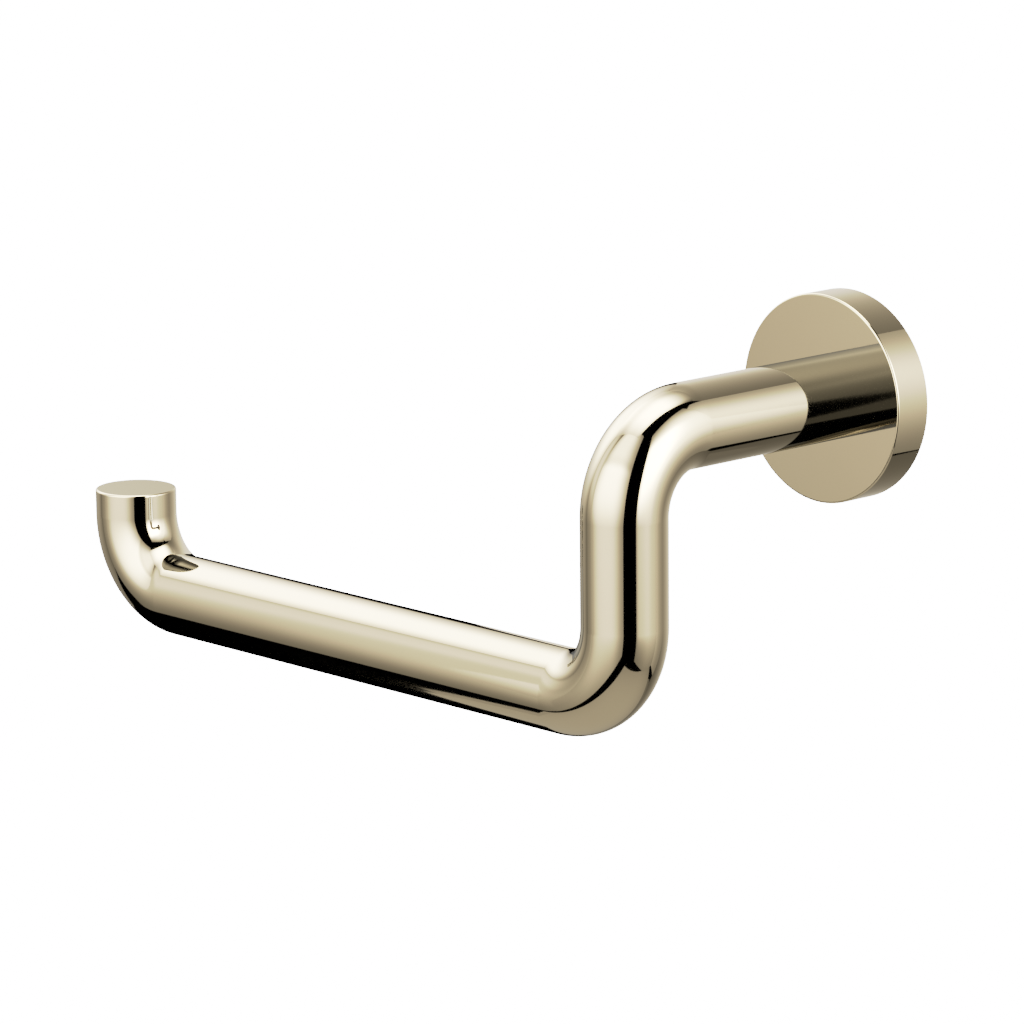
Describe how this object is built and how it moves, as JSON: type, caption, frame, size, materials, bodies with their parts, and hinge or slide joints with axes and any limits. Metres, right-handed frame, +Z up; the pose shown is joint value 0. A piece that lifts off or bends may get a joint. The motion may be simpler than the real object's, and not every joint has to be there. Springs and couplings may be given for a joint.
{
  "type": "toilet paper holder",
  "caption": "Wall-mounted toilet paper holder: a round flange and a bent tube whose open bar takes a roll from the side and ends in a turned-up hook.",
  "frame": {"origin": "centre of the round flange on the wall plane, at the middle of the pad where the bracket's back touches the wall", "axes": "+Z up, +Y into the wall, so the holder stands out along -Y; the bar runs along -X from the vertical leg to the turned-up end"},
  "size_m": [0.198, 0.0795, 0.0915],
  "materials": {
    "polished_nickel": "polished nickel plate on brass",
    "turned_brass": "turned, unplated",
    "zinc_plated_steel": "bright zinc plate",
    "stainless_steel": "machined",
    "cast_zinc": "as die-cast, tumbled"
  },
  "bodies": {
    "holder": {"flange_cover": "polished_nickel", "arm_tube": "polished_nickel", "arm_end_cap": "polished_nickel", "arm_root_plug": "turned_brass", "arm_bolt": "zinc_plated_steel", "lock_washer": "zinc_plated_steel", "flat_washer": "zinc_plated_steel", "locating_pin": "stainless_steel", "mounting_bracket": "cast_zinc"},
    "set_screw": {"set_screw": "stainless_steel"}
  },
  "joints": [
    {"name": "set_screw_travel", "type": "slide", "parent": "holder", "child": "set_screw", "axis": [0, 0, -1], "range_m": [0, 0.003]}
  ]
}
